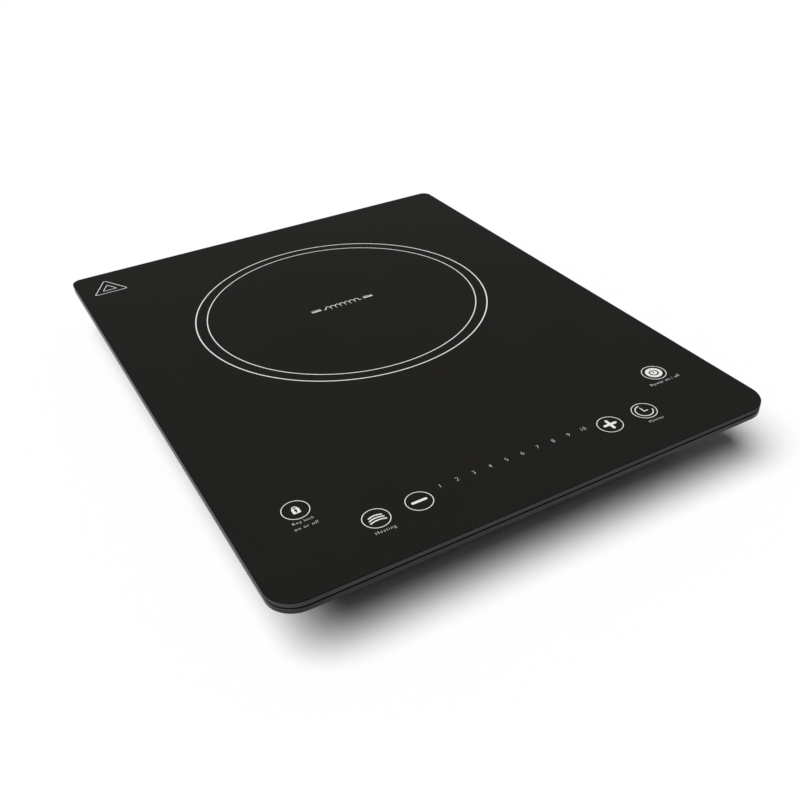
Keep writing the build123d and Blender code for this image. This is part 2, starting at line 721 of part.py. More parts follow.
def chip(x, width, leads, pitch):
    """A flat power package under the heat sink, with its leads bent down to the board."""
    top = Z_PARTS + SINK_LEG_H
    body = standing(x, CHIP_MID_Y, top - CHIP_T, (width, CHIP_LENGTH, CHIP_T))
    body -= post(x, CHIP_MID_Y, top - CHIP_T, top, M3_CLEAR_R)
    start = CHIP_MID_Y + CHIP_LENGTH / 2
    end = start + CHIP_LEAD_REACH
    half_w = CHIP_LEAD[0] / 2
    low = top - CHIP_T / 2 - CHIP_LEAD[1]
    for index in range(leads):
        lead_x = x + pitch * (index - (leads - 1) / 2)
        across = (lead_x - half_w, lead_x + half_w)
        body += block(across, (start, end), (low, low + CHIP_LEAD[1]))
        body += block(across, (end - CHIP_LEAD[1], end), (Z_PARTS, low + CHIP_LEAD[1]))
    return body


def chip_screws():
    """The screws that pull both chips up against the heat sink's base, from below."""
    low = Z_PARTS + SINK_LEG_H - CHIP_T
    screws = []
    for x in (TRANSISTOR_X, RECTIFIER_X):
        head = post(x, CHIP_MID_Y, Z_PARTS + CHIP_HEAD_GAP, low, M3_HEAD_R)
        screws.append(head + post(x, CHIP_MID_Y, low, low + CHIP_T + SINK_BASE_T, M3_R))
    return Compound(screws)


def film_capacitor(middle, size):
    """A potted film capacitor on the power board, with softened top edges."""
    body = standing(*middle, Z_PARTS, size)
    return chamfer(body.faces().sort_by(Axis.Z)[-1].edges(), FILM_EDGE)


def supply_transformer():
    """The standby supply's small transformer: a wound bobbin through a ferrite frame."""
    middle, size = TRANSFORMER
    bobbin_low = Z_PARTS + (size[2] - BOBBIN[2]) / 2
    return standing(*middle, Z_PARTS, size) + standing(*middle, bobbin_low, BOBBIN)


def filter_choke():
    """The filter choke: a wound ring core lying on the board."""
    x, y = CHOKE_AT
    core = post(x, y, Z_PARTS, Z_PARTS + CHOKE_H, CHOKE_R[1], 16)
    return core - post(x, y, Z_PARTS, Z_PARTS + CHOKE_H, CHOKE_R[0], 8)


def lying_prism(x, y, z, radius, length, turn):
    """A twelve-sided prism lying along X, or along Y where it is turned a quarter."""
    upright = Plane(origin=(x, y, z), x_dir=(0, 0, 1), z_dir=(0, 1, 0) if turn else (1, 0, 0))
    return extrude(upright * RegularPolygon(radius, 12, major_radius=False), amount=length / 2, both=True)


def fuse():
    """The mains fuse between its two clips."""
    x, y = FUSE_AT
    body = lying_prism(x, y, Z_PARTS + FUSE_CLIP[2], FUSE_R, FUSE_LENGTH, False)
    reach = (FUSE_LENGTH - FUSE_CLIP[0]) / 2
    for side in (-1, 1):
        body += standing(x + side * reach, y, Z_PARTS, FUSE_CLIP)
    return body


def varistor():
    """The surge absorber, a coated disc standing on its legs."""
    x, y = VARISTOR_AT
    disc = lying_prism(x, y, Z_PARTS + VARISTOR_R + VARISTOR_LEGS[2] / 2, VARISTOR_R, VARISTOR_T, True)
    return disc + standing(x, y, Z_PARTS, VARISTOR_LEGS)


def smoothing_capacitors():
    """The small electrolytic capacitors of the standby supply."""
    high = Z_PARTS + SMOOTHING_H
    return Compound([post(x, y, Z_PARTS, high, SMOOTHING_R, 12) for x, y in SMOOTHING_AT])


def terminal_block():
    """The two-way block that takes the cord's wires, with its wire mouths to the rear."""
    (x, y), size = TERMINAL_BLOCK
    body = standing(x, y, Z_PARTS, size)
    rear = y + size[1] / 2
    for side in (-1, 1):
        way_x = x + side * size[0] / 4
        body -= standing(way_x, rear, Z_PARTS + TERMINAL_MOUTH_Z, TERMINAL_MOUTH)
        body -= standing(way_x, y - TERMINAL_WELL[1] / 2, Z_PARTS + size[2] - TERMINAL_WELL[2], TERMINAL_WELL)
    return body


def buzzer():
    """The key-press sounder."""
    return post(*BUZZER_AT, Z_PARTS, Z_PARTS + BUZZER_H, BUZZER_R, 16)


# Controls ------------------------------------------------------------------------------------


def control_board():
    """The touch board, notched round the case bosses, with its controller and ribbon header."""
    board = standing(0, CONTROL_BOARD_Y, Z_CONTROL, (*CONTROL_BOARD, BOARD_T))
    front = CONTROL_BOARD_Y - CONTROL_BOARD[1] / 2
    for side in (-1, 1):
        corner_x = side * (CONTROL_BOARD[0] - CONTROL_NOTCH[0]) / 2
        middle_y = front + CONTROL_NOTCH[1] / 2
        board -= standing(corner_x, middle_y, Z_CONTROL, (*CONTROL_NOTCH, BOARD_T))
    for x, y in CONTROL_SCREWS:
        board -= post(x, y, Z_CONTROL, Z_CONTROL + BOARD_T, M3_CLEAR_R)
    board += standing(0, CONTROLLER_Y, Z_CONTROL + BOARD_T, CONTROLLER)
    header = (*RIBBON_HEADER, Z_CONTROL - RIBBON_HIGH)
    return board + standing(RIBBON_X, RIBBON_ENDS[1], RIBBON_HIGH, header)


def control_board_screws():
    return Compound([screw(x, y, Z_CONTROL + BOARD_T, BOARD_T + BITE) for x, y in CONTROL_SCREWS])


def touch_sensor(x, y):
    """A block of conductive foam that carries a key's touch down to the board."""
    low = Z_CONTROL + BOARD_T
    foam = standing(x, y, low, (KEY_PAD, KEY_PAD, Z_GLASS - low))
    return chamfer(foam.edges().filter_by(Axis.Z), KEY_PAD_EDGE)


def level_places():
    """The middle of each level light, left to right."""
    half = LEVEL_PITCH * (LEVEL_COUNT - 1) / 2
    return [(LEVEL_PITCH * index - half, LEVEL_Y) for index in range(LEVEL_COUNT)]


def light_shield():
    """The comb that keeps each level light under its own number."""
    low = Z_CONTROL + BOARD_T
    length = LEVEL_PITCH * LEVEL_COUNT + SHIELD_WALL
    comb = standing(0, LEVEL_Y, low, (length, SHIELD_W, Z_GLASS - low - SHIELD_GAP))
    cell = (LEVEL_PITCH - SHIELD_WALL, SHIELD_W - 2 * SHIELD_WALL, Z_GLASS - low)
    for x, y in level_places():
        comb -= standing(x, y, low, cell)
    return comb


def level_lights():
    """One light for each cooking level."""
    return Compound([standing(x, y, Z_CONTROL + BOARD_T, LEVEL_LIGHT) for x, y in level_places()])


def ribbon_cable():
    """The flat cable between the two boards, with a plug pushed into each header."""
    plug = (*RIBBON_HEADER, RIBBON_PLUG_H)
    cable = standing(RIBBON_X, RIBBON_ENDS[0], RIBBON_LOW, plug)
    cable += standing(RIBBON_X, RIBBON_ENDS[1], RIBBON_HIGH - RIBBON_PLUG_H, plug)
    half = RIBBON_HEADER[1] / 2
    strip_y = (RIBBON_ENDS[1] - half, RIBBON_ENDS[0] + half)
    strip_z = (RIBBON_LOW + RIBBON_PLUG_H, RIBBON_HIGH - RIBBON_PLUG_H)
    return cable + block((RIBBON_X - RIBBON_HALF, RIBBON_X + RIBBON_HALF), strip_y, strip_z)


# Fan -----------------------------------------------------------------------------------------


def fan_screw_places():
    half = FAN_HOLE_PITCH / 2
    return [(FAN_X + sx * half, FAN_Y + sy * half) for sx in (-1, 1) for sy in (-1, 1)]


def fan_frame():
    """The fan's square frame: duct, four struts, motor plate and the bearing's tube."""
    square = Rectangle(FAN_SIZE, FAN_SIZE)
    outline = chamfer(square.vertices(), FAN_CORNER) - Circle(FAN_DUCT_R)
    frame = slab(Pos(FAN_X, FAN_Y) * outline, Z_FAN, Z_FAN + FAN_T)
    struts = RegularPolygon(MOTOR_PLATE_R, 12, major_radius=False)
    for angle in (30, 120):
        struts += Rot(0, 0, angle) * Rectangle(2 * FAN_DUCT_R + 1, FAN_STRUT_W)
    frame += slab(Pos(FAN_X, FAN_Y) * struts, Z_STRUT, Z_FAN + FAN_T)
    frame += post(FAN_X, FAN_Y, Z_BEARING, Z_STRUT, BEARING_TUBE_R)
    frame -= post(FAN_X, FAN_Y, Z_BEARING, Z_STRUT, BEARING_R)
    for x, y in fan_screw_places():
        frame -= post(x, y, Z_FAN, Z_FAN + FAN_T, FAN_HOLE_R)
    return frame


def fan_bearing():
    """The sintered sleeve that the shaft turns in, flat-sided where the tube grips it."""
    low, high = Z_BEARING, Z_STRUT - BEARING_GAP
    sleeve = post(FAN_X, FAN_Y, low, high, BEARING_R)
    return sleeve - rod(FAN_X, FAN_Y, low, high, SHAFT_R + SHAFT_CLEARANCE)


def fan_stator():
    """The motor's four wound poles, pushed onto the bearing tube."""
    outline = RegularPolygon(STATOR_R, 12, major_radius=False)
    outline -= RegularPolygon(BEARING_TUBE_R, 6, major_radius=False)
    for angle in (0, 90, 180, 270):
        outline -= Rot(0, 0, angle) * Pos(STATOR_R, 0) * Rectangle(2 * STATOR_SLOT[0], STATOR_SLOT[1])
    return slab(Pos(FAN_X, FAN_Y) * outline, Z_BEARING + 1, Z_BEARING + 1 + STATOR_H)


def fan_screws():
    """The screws through the fan's corners into the housing."""
    length = FAN_T + FAN_POST_H + ROOT_DEPTH
    return Compound([screw(x, y, Z_FAN + FAN_T, length) for x, y in fan_screw_places()])


def fan_blade(root):
    """One cambered blade, trimmed in plan so that it widens from its root to its tip."""
    half = BLADE_CHORD / 2
    under = ThreePointArc((-half, 0), (0, BLADE_CAMBER), (half, 0))
    over = ThreePointArc((half, BLADE_T), (0, BLADE_CAMBER + BLADE_T), (-half, BLADE_T))
    ends = [Line((half, 0), (half, BLADE_T)), Line((-half, BLADE_T), (-half, 0))]
    section = Pos(0, -(BLADE_T + BLADE_CAMBER) / 2) * make_face([under, over, *ends])
    upright = Plane(origin=(root, 0, (Z_FAN + Z_STRUT) / 2), x_dir=(0, 1, 0), z_dir=(1, 0, 0))
    strip = extrude(upright * (Rot(0, 0, BLADE_PITCH) * section), amount=BLADE_TIP_R - root)
    low_w, high_w = BLADE_WIDTHS
    corners = [(root, -low_w / 2), (BLADE_TIP_R, -high_w / 2), (BLADE_TIP_R, high_w / 2), (root, low_w / 2)]
    return strip & slab(make_face(Polyline(*corners, close=True)), Z_FAN, Z_STRUT)


def fan_impeller():
    """The cup hub that holds the magnets, with its cambered blades."""
    low, high = Z_FAN + HUB_GAP[0], Z_STRUT - HUB_GAP[1]
    inside = HUB_R - HUB_WALL
    sleeve_top = low + HUB_WALL + SHAFT_SLEEVE[1]
    wheel = rod(0, 0, low, high, HUB_R)
    wheel -= post(0, 0, low + HUB_WALL, high, inside, HUB_SIDES)
    wheel += post(0, 0, low + HUB_WALL, sleeve_top, SHAFT_SLEEVE[0])
    wheel -= rod(0, 0, Z_SHAFT, sleeve_top, SHAFT_R)
    blade = fan_blade(HUB_R - HUB_WALL / 2)
    for index in range(FAN_BLADES):
        wheel += Rot(0, 0, 360 * index / FAN_BLADES) * blade
    return Pos(FAN_X, FAN_Y) * wheel


def magnet_ring():
    """The ring magnet glued inside the hub."""
    outer = HUB_R - HUB_WALL
    low, high = Z_BEARING, Z_STRUT - MAGNET_GAP
    magnet = post(FAN_X, FAN_Y, low, high, outer, HUB_SIDES)
    return magnet - post(FAN_X, FAN_Y, low, high, outer - MAGNET_WALL, HUB_SIDES)


def fan_shaft():
    """The shaft pressed into the hub."""
    return rod(FAN_X, FAN_Y, Z_SHAFT, Z_STRUT - SHAFT_GAP, SHAFT_R)


def shaft_clip():
    """The push-on washer that keeps the rotor from dropping out of its bearing."""
    low = Z_STRUT - BEARING_GAP + CLIP_T / 4
    clip = post(FAN_X, FAN_Y, low, low + CLIP_T, CLIP_R)
    return clip - rod(FAN_X, FAN_Y, low, low + CLIP_T, SHAFT_R)


def fan_lead():
    """The fan's two-core lead from its frame to the power board's header."""
    (header_x, header_y), size = FAN_HEADER
    height = Z_PARTS + size[2] / 2
    frame_x = FAN_X - FAN_SIZE / 2
    run_x = (SINK_X[1] + frame_x) / 2
    points = [(frame_x, FAN_LEAD_START_Y, height), (run_x, FAN_LEAD_START_Y, height)]
    points += [(run_x, header_y, height), (header_x + size[0] / 2, header_y, height)]
    return tube(points, THIN_LEAD_R)


def all_parts():
    """Every sub-part by its node's name."""
    parts = {
        "glass_plate": glass_plate(),
        "silicone_bead": silicone_bead(),
        "upper_frame": upper_frame(),
        "lower_housing": lower_housing(),
        "case_screws": case_screws(),
        "cord_bushing": cord_bushing(),
        "cord_clamp": cord_clamp(),
        "cord_clamp_screws": cord_clamp_screws(),
        "coil_former": coil_former(),
        "coil_winding": coil_winding(),
        "ferrite_bars": ferrite_bars(),
        "mica_sheet": mica_sheet(),
        "coil_screws": coil_screws(),
        "sensor_holder": sensor_holder(),
        "glass_sensor": glass_sensor(),
        "coil_lead_outer": coil_lead_outer(),
        "coil_lead_inner": coil_lead_inner(),
        "coil_posts": coil_posts(),
        "sensor_lead": sensor_lead(),
        "power_board": power_board(),
        "power_board_screws": power_board_screws(),
        "heat_sink": heat_sink(),
        "power_transistor": chip(TRANSISTOR_X, *TRANSISTOR_LEGS),
        "bridge_rectifier": chip(RECTIFIER_X, *RECTIFIER_LEGS),
        "chip_screws": chip_screws(),
        "resonance_capacitor": film_capacitor(*RESONANCE_CAPACITOR),
        "link_capacitor": film_capacitor(*LINK_CAPACITOR),
        "mains_capacitor": film_capacitor(*MAINS_CAPACITOR),
        "supply_transformer": supply_transformer(),
        "filter_choke": filter_choke(),
        "fuse": fuse(),
        "varistor": varistor(),
        "smoothing_capacitors": smoothing_capacitors(),
        "terminal_block": terminal_block(),
        "buzzer": buzzer(),
        "control_board": control_board(),
        "control_board_screws": control_board_screws(),
        "light_shield": light_shield(),
        "level_lights": level_lights(),
        "ribbon_cable": ribbon_cable(),
        "fan_frame": fan_frame(),
        "fan_bearing": fan_bearing(),
        "fan_stator": fan_stator(),
        "fan_screws": fan_screws(),
        "fan_lead": fan_lead(),
        "fan_impeller": fan_impeller(),
        "fan_magnet": magnet_ring(),
        "fan_shaft": fan_shaft(),
        "fan_clip": shaft_clip(),
    }
    for place, (x, y) in FOOT_PLACES.items():
        parts[f"foot_{place}"] = foot(x, y)
    for key, (x, y) in KEYS.items():
        parts[f"touch_sensor_{key}"] = touch_sensor(x, y)
    return parts


os.makedirs("parts", exist_ok=True)
for name, shape in all_parts().items():
    export_step(shape, f"parts/{name}.step")
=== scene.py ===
import json
from math import atan2, cos, degrees, pi, radians, sin, tan, tau

import bmesh
import bpy
from mathutils import Matrix, Vector


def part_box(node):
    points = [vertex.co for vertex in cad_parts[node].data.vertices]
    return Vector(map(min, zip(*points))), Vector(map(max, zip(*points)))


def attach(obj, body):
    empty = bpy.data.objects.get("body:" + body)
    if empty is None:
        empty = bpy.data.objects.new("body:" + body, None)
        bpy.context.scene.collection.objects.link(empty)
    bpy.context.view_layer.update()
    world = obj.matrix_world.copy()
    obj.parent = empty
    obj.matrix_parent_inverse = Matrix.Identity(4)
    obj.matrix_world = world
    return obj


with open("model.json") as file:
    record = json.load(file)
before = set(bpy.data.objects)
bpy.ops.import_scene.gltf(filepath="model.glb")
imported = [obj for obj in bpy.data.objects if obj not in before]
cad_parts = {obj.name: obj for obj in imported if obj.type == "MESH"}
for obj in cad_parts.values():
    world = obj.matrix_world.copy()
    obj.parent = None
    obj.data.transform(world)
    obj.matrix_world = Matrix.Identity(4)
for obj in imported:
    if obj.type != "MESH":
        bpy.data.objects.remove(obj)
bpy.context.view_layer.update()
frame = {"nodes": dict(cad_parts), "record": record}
bpy.context.scene.view_settings.view_transform = "Standard"

MM = 0.001
CASE = "case"


def middle_of(node_name):
    """The middle of a CAD node, seen from above."""
    low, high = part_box(node_name)
    return Vector(((low.x + high.x) / 2, (low.y + high.y) / 2))


# The glass plate's box and top, and the middle of the cooking zone
GLASS_LOW, GLASS_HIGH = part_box("glass_plate")
GLASS_TOP = GLASS_HIGH.z
ZONE = middle_of("mica_sheet")


# Camera, light and floor ------------------------------------------------------------------------

# Which way the light goes, and how many degrees wide its source looks
LIGHT_TOWARD = (0.48, 0.2, -1.0)
LIGHT_SPREAD = 48
FLOOR_WHITE = 0.96
AMBIENT = 0.07


def add_camera():
    """Near the photograph's view, from the front left and above.

    The photograph's own perspective needs a shift of -0.17, which would cut the object off at the
    frame's edge in views from other sides. This view was fitted to it with a shift of -0.04.
    """
    data = bpy.data.cameras.new("camera")
    data.sensor_width = 36
    data.lens = 42.946
    data.shift_x = -0.04
    camera = bpy.data.objects.new("camera", data)
    place = (-0.21766, -0.46389, 0.32917)
    heading, tilt, roll = radians(28.796), radians(33.4606), radians(-2.6956)
    forward = Vector((sin(heading) * cos(tilt), cos(heading) * cos(tilt), -sin(tilt)))
    turned = forward.to_track_quat("-Z", "Y").to_matrix().to_4x4() @ Matrix.Rotation(roll, 4, "Z")
    camera.matrix_world = Matrix.Translation(place) @ turned
    bpy.context.scene.collection.objects.link(camera)
    bpy.context.scene.camera = camera


def add_world():
    """A white surround for what the camera and reflections see, and a faint one for the light."""
    world = bpy.data.worlds.new("studio")
    world.use_nodes = True
    tree = world.node_tree
    tree.nodes.clear()
    path = tree.nodes.new("ShaderNodeLightPath")
    mirrored = add_math(tree, "MAXIMUM", path.outputs["Is Glossy Ray"], path.outputs["Is Transmission Ray"])
    seen = add_math(tree, "MAXIMUM", path.outputs["Is Camera Ray"], mirrored)
    mix = tree.nodes.new("ShaderNodeMixShader")
    tree.links.new(seen, mix.inputs[0])
    for socket, strength in ((mix.inputs[1], AMBIENT), (mix.inputs[2], 1.0)):
        surround = tree.nodes.new("ShaderNodeBackground")
        surround.inputs["Color"].default_value = (1, 1, 1, 1)
        surround.inputs["Strength"].default_value = strength
        tree.links.new(surround.outputs[0], socket)
    out = tree.nodes.new("ShaderNodeOutputWorld")
    tree.links.new(mix.outputs[0], out.inputs[0])
    bpy.context.scene.world = world


def add_key_light():
    """One broad soft source, high over the left side and a little in front.

    Together with the surround's faint light it brings the open floor just to white.
    """
    toward = Vector(LIGHT_TOWARD).normalized()
    data = bpy.data.lights.new("key", "SUN")
    data.energy = pi * (1 / FLOOR_WHITE - AMBIENT) / -toward.z
    data.angle = radians(LIGHT_SPREAD)
    light = bpy.data.objects.new("key", data)
    light.rotation_mode = "QUATERNION"
    light.rotation_quaternion = toward.to_track_quat("-Z", "Y")
    bpy.context.scene.collection.objects.link(light)


def add_floor():
    """A plain white floor, wide enough to fill the view."""
    half = 6.0  # metres
    corners = [(-half, -half, 0), (half, -half, 0), (half, half, 0), (-half, half, 0)]
    mesh = bpy.data.meshes.new("floor")
    mesh.from_pydata(corners, [], [(0, 1, 2, 3)])
    mesh.materials.append(plain("floor", (FLOOR_WHITE,) * 3, 1.0, level=0.0))
    floor = bpy.data.objects.new("floor", mesh)
    bpy.context.scene.collection.objects.link(floor)


# Material nodes ---------------------------------------------------------------------------------


def add_math(tree, operation, *values):
    """A Math node. Each value is a socket or a number."""
    made = tree.nodes.new("ShaderNodeMath")
    made.operation = operation
    for socket, value in zip(made.inputs, values):
        if isinstance(value, (int, float)):
            socket.default_value = value
        else:
            tree.links.new(value, socket)
    return made.outputs[0]


def add_place(tree):
    """Where a point is on the object, in millimetres."""
    place = tree.nodes.new("ShaderNodeTexCoord")
    scaled = tree.nodes.new("ShaderNodeVectorMath")
    scaled.operation = "SCALE"
    scaled.inputs["Scale"].default_value = 1 / MM
    tree.links.new(place.outputs["Object"], scaled.inputs[0])
    return scaled.outputs[0]


def add_noise(tree, size, stretch=(1, 1, 1)):
    """Noise over the object whose lumps have the given size in millimetres."""
    mapping = tree.nodes.new("ShaderNodeMapping")
    mapping.inputs["Scale"].default_value = stretch
    tree.links.new(add_place(tree), mapping.inputs["Vector"])
    noise = tree.nodes.new("ShaderNodeTexNoise")
    noise.inputs["Scale"].default_value = 1 / size
    noise.inputs["Detail"].default_value = 4.0
    tree.links.new(mapping.outputs["Vector"], noise.inputs["Vector"])
    return noise.outputs[0]


def add_parts(tree, vector):
    """The three parts of a vector."""
    split = tree.nodes.new("ShaderNodeSeparateXYZ")
    tree.links.new(vector, split.inputs[0])
    return split.outputs


def add_wave(tree, along, pitch):
    """A wave between 0 and 1 that repeats every pitch along a value."""
    turned = add_math(tree, "MULTIPLY", along, tau / pitch)
    return add_math(tree, "MULTIPLY_ADD", add_math(tree, "SINE", turned), 0.5, 0.5)


def add_colours(tree, amount, low, high):
    """A colour that runs from low to high with the amount."""
    mix = tree.nodes.new("ShaderNodeMix")
    mix.data_type = "RGBA"
    factor, first, second = mix.inputs[0], mix.inputs[6], mix.inputs[7]
    tree.links.new(amount, factor)
    first.default_value = (*low, 1)
    second.default_value = (*high, 1)
    return mix.outputs[2]


def add_ramp(tree, amount, stops):
    """A colour that changes with the amount, from stop to stop."""
    ramp = tree.nodes.new("ShaderNodeValToRGB")
    marks = ramp.color_ramp.elements
    while len(marks) < len(stops):
        marks.new(0.5)
    for mark, (place, colour) in zip(marks, stops):
        mark.position = place
        mark.color = (*colour, 1)
    tree.links.new(amount, ramp.inputs[0])
    return ramp.outputs["Color"]


def add_tint(tree, colour, amount):
    """A colour made darker or lighter by the amount."""
    tint = tree.nodes.new("ShaderNodeVectorMath")
    tint.operation = "SCALE"
    tree.links.new(colour, tint.inputs[0])
    tree.links.new(amount, tint.inputs["Scale"])
    return tint.outputs[0]


def add_range(tree, amount, low, high, start=0.0, end=1.0):
    """The amount, which runs from start to end, carried to between low and high."""
    spread = tree.nodes.new("ShaderNodeMapRange")
    for name, value in zip(("From Min", "From Max", "To Min", "To Max"), (start, end, low, high)):
        spread.inputs[name].default_value = value
    tree.links.new(amount, spread.inputs["Value"])
    return spread.outputs["Result"]


def shader_of(material):
    """The material's own shader node."""
    return material.node_tree.nodes["Principled BSDF"]


def set_colour(material, colour):
    """Links a colour to the material's shader."""
    material.node_tree.links.new(colour, shader_of(material).inputs["Base Color"])


def set_roughness(material, roughness):
    """Links a roughness to the material's shader."""
    material.node_tree.links.new(roughness, shader_of(material).inputs["Roughness"])


def set_relief(material, height, depth):
    """Relief of the given depth in millimetres, from a height between 0 and 1."""
    tree = material.node_tree
    bump = tree.nodes.new("ShaderNodeBump")
    bump.inputs["Distance"].default_value = depth * MM
    tree.links.new(height, bump.inputs["Height"])
    tree.links.new(bump.outputs["Normal"], shader_of(material).inputs["Normal"])


# Materials --------------------------------------------------------------------------------------

# The glass mirrors next to nothing: the photograph's top is an even black
GLASS_LEVEL = 0.003
GLASS_POLISH = (0.05, 0.08)
GLASS_MELT_SIZE = 45
GLASS_TOP_COLOUR = (0.0150, 0.0143, 0.0128)
# Ground sides of the glass: their own paler grey, lifted further by a painted reflection of the floor
GLASS_EDGE_GREY_WITH_PAINTED_REFLECTION = (0.058, 0.058, 0.058)
# Arris round the top: a painted dark reflection, a thin line of shade painted along the edge
GLASS_ARRIS_PAINTED_DARK_REFLECTION = (0.006, 0.006, 0.006)
# By how far a face of the glass looks up or down: 0 for its sides, 1 for its top and underside. The sides
# carry their paler ground grey with a painted reflection of the floor, and the arris between side and top
# carries a painted dark reflection.
GLASS_COLOURS_WITH_PAINTED_REFLECTIONS = (
    (0.4, GLASS_EDGE_GREY_WITH_PAINTED_REFLECTION),
    (0.5, GLASS_ARRIS_PAINTED_DARK_REFLECTION),
    (0.97, GLASS_ARRIS_PAINTED_DARK_REFLECTION),
    (0.995, GLASS_TOP_COLOUR),
)


def plain(name, colour, roughness, level=0.5, metallic=0.0):
    """A material of one even colour: the start of all the others."""
    material = bpy.data.materials.new(name)
    material.use_nodes = True
    shader = shader_of(material)
    shader.inputs["Base Color"].default_value = (*colour, 1)
    shader.inputs["Roughness"].default_value = roughness
    shader.inputs["Specular IOR Level"].default_value = level
    shader.inputs["Metallic"].default_value = metallic
    return material


def shades(colour, spread):
    """A colour made darker and lighter by a share."""
    return [c * (1 - spread) for c in colour], [min(1.0, c * (1 + spread)) for c in colour]


def grained(name, colour, roughness, spread=0.15, size=1.0, depth=0.02, stretch=(1, 1, 1), **shader):
    """A material whose colour, gloss and relief all vary a little with one noise."""
    material = plain(name, colour, roughness, **shader)
    tree = material.node_tree
    grain = add_noise(tree, size, stretch=stretch)
    set_colour(material, add_colours(tree, grain, *shades(colour, spread)))
    set_roughness(material, add_range(tree, grain, roughness * 0.85, min(1.0, roughness * 1.15)))
    set_relief(material, grain, depth)
    return material


def black_glass(name):
    """Opaque black glass: an even polished top, a painted dark reflection along the arris round it, and
    ground edges painted paler, partly their own grey and partly a painted reflection of the floor.
    """
    material = plain(name, GLASS_TOP_COLOUR, 0.06, level=GLASS_LEVEL)
    tree = material.node_tree
    geometry = tree.nodes.new("ShaderNodeNewGeometry")
    upward = add_math(tree, "ABSOLUTE", add_parts(tree, geometry.outputs["Normal"])["Z"])
    # The ramp paints the sides with a floor reflection and the arris with a dark reflection
    colour = add_ramp(tree, upward, GLASS_COLOURS_WITH_PAINTED_REFLECTIONS)
    melt = add_noise(tree, GLASS_MELT_SIZE)
    set_colour(material, add_tint(tree, colour, add_range(tree, melt, 0.95, 1.05)))
    polish = add_range(tree, melt, *GLASS_POLISH)
    grinding = add_range(tree, upward, 2.0, 1.0, 0.2, 0.8)  # the ground sides are twice as rough
    set_roughness(material, add_math(tree, "MULTIPLY", polish, grinding))
    return material


def striped(name, colour, roughness, axis, pitch, depth, spread=0.3, **shader):
    """A material with fine stripes across one axis: layers of tape, wires or sheets of steel."""
    material = plain(name, colour, roughness, **shader)
    tree = material.node_tree
    wave = add_wave(tree, add_parts(tree, add_place(tree))[axis], pitch)
    set_colour(material, add_colours(tree, wave, *shades(colour, spread)))
    set_relief(material, wave, depth)
    return material


def wound(name, colour, roughness, pitch, depth):
    """Copper strands laid in turns round the middle of the cooking zone."""
    material = plain(name, colour, roughness, metallic=0.8)
    tree = material.node_tree
    across = add_parts(tree, add_place(tree))
    from_x = add_math(tree, "SUBTRACT", across["X"], ZONE.x / MM)
    from_y = add_math(tree, "SUBTRACT", across["Y"], ZONE.y / MM)
    square_x = add_math(tree, "POWER", from_x, 2.0)
    square_y = add_math(tree, "POWER", from_y, 2.0)
    outward = add_math(tree, "SQRT", add_math(tree, "ADD", square_x, square_y))
    turns = add_wave(tree, outward, pitch)
    set_colour(material, add_colours(tree, turns, *shades(colour, 0.45)))
    set_relief(material, turns, depth)
    return material


def woven(name, colour, roughness, pitch, depth, **shader):
    """A sleeve or foam skin woven from crossing threads."""
    material = plain(name, colour, roughness, **shader)
    tree = material.node_tree
    along = add_parts(tree, add_place(tree))
    cross = add_math(tree, "ADD", along["X"], along["Y"])
    first = add_wave(tree, add_math(tree, "ADD", cross, along["Z"]), pitch)
    second = add_wave(tree, add_math(tree, "SUBTRACT", cross, along["Z"]), pitch)
    weave = add_math(tree, "MULTIPLY", first, second)
    set_colour(material, add_colours(tree, weave, *shades(colour, 0.35)))
    set_relief(material, weave, depth)
    return material


def masked_board(name):
    """Green solder mask, with a brickwork of paler lines for the copper tracks under it."""
    material = plain(name, (0.02, 0.13, 0.05), 0.35)
    tree = material.node_tree
    tracks = tree.nodes.new("ShaderNodeTexBrick")
    tracks.inputs["Scale"].default_value = 0.12
    tracks.inputs["Mortar Size"].default_value = 0.03
    tracks.inputs["Color1"].default_value = (0.015, 0.12, 0.045, 1)
    tracks.inputs["Color2"].default_value = (0.02, 0.15, 0.06, 1)
    tracks.inputs["Mortar"].default_value = (0.05, 0.26, 0.11, 1)
    tree.links.new(add_place(tree), tracks.inputs["Vector"])
    set_colour(material, tracks.outputs["Color"])
    set_relief(material, tracks.outputs["Fac"], 0.03)
    return material


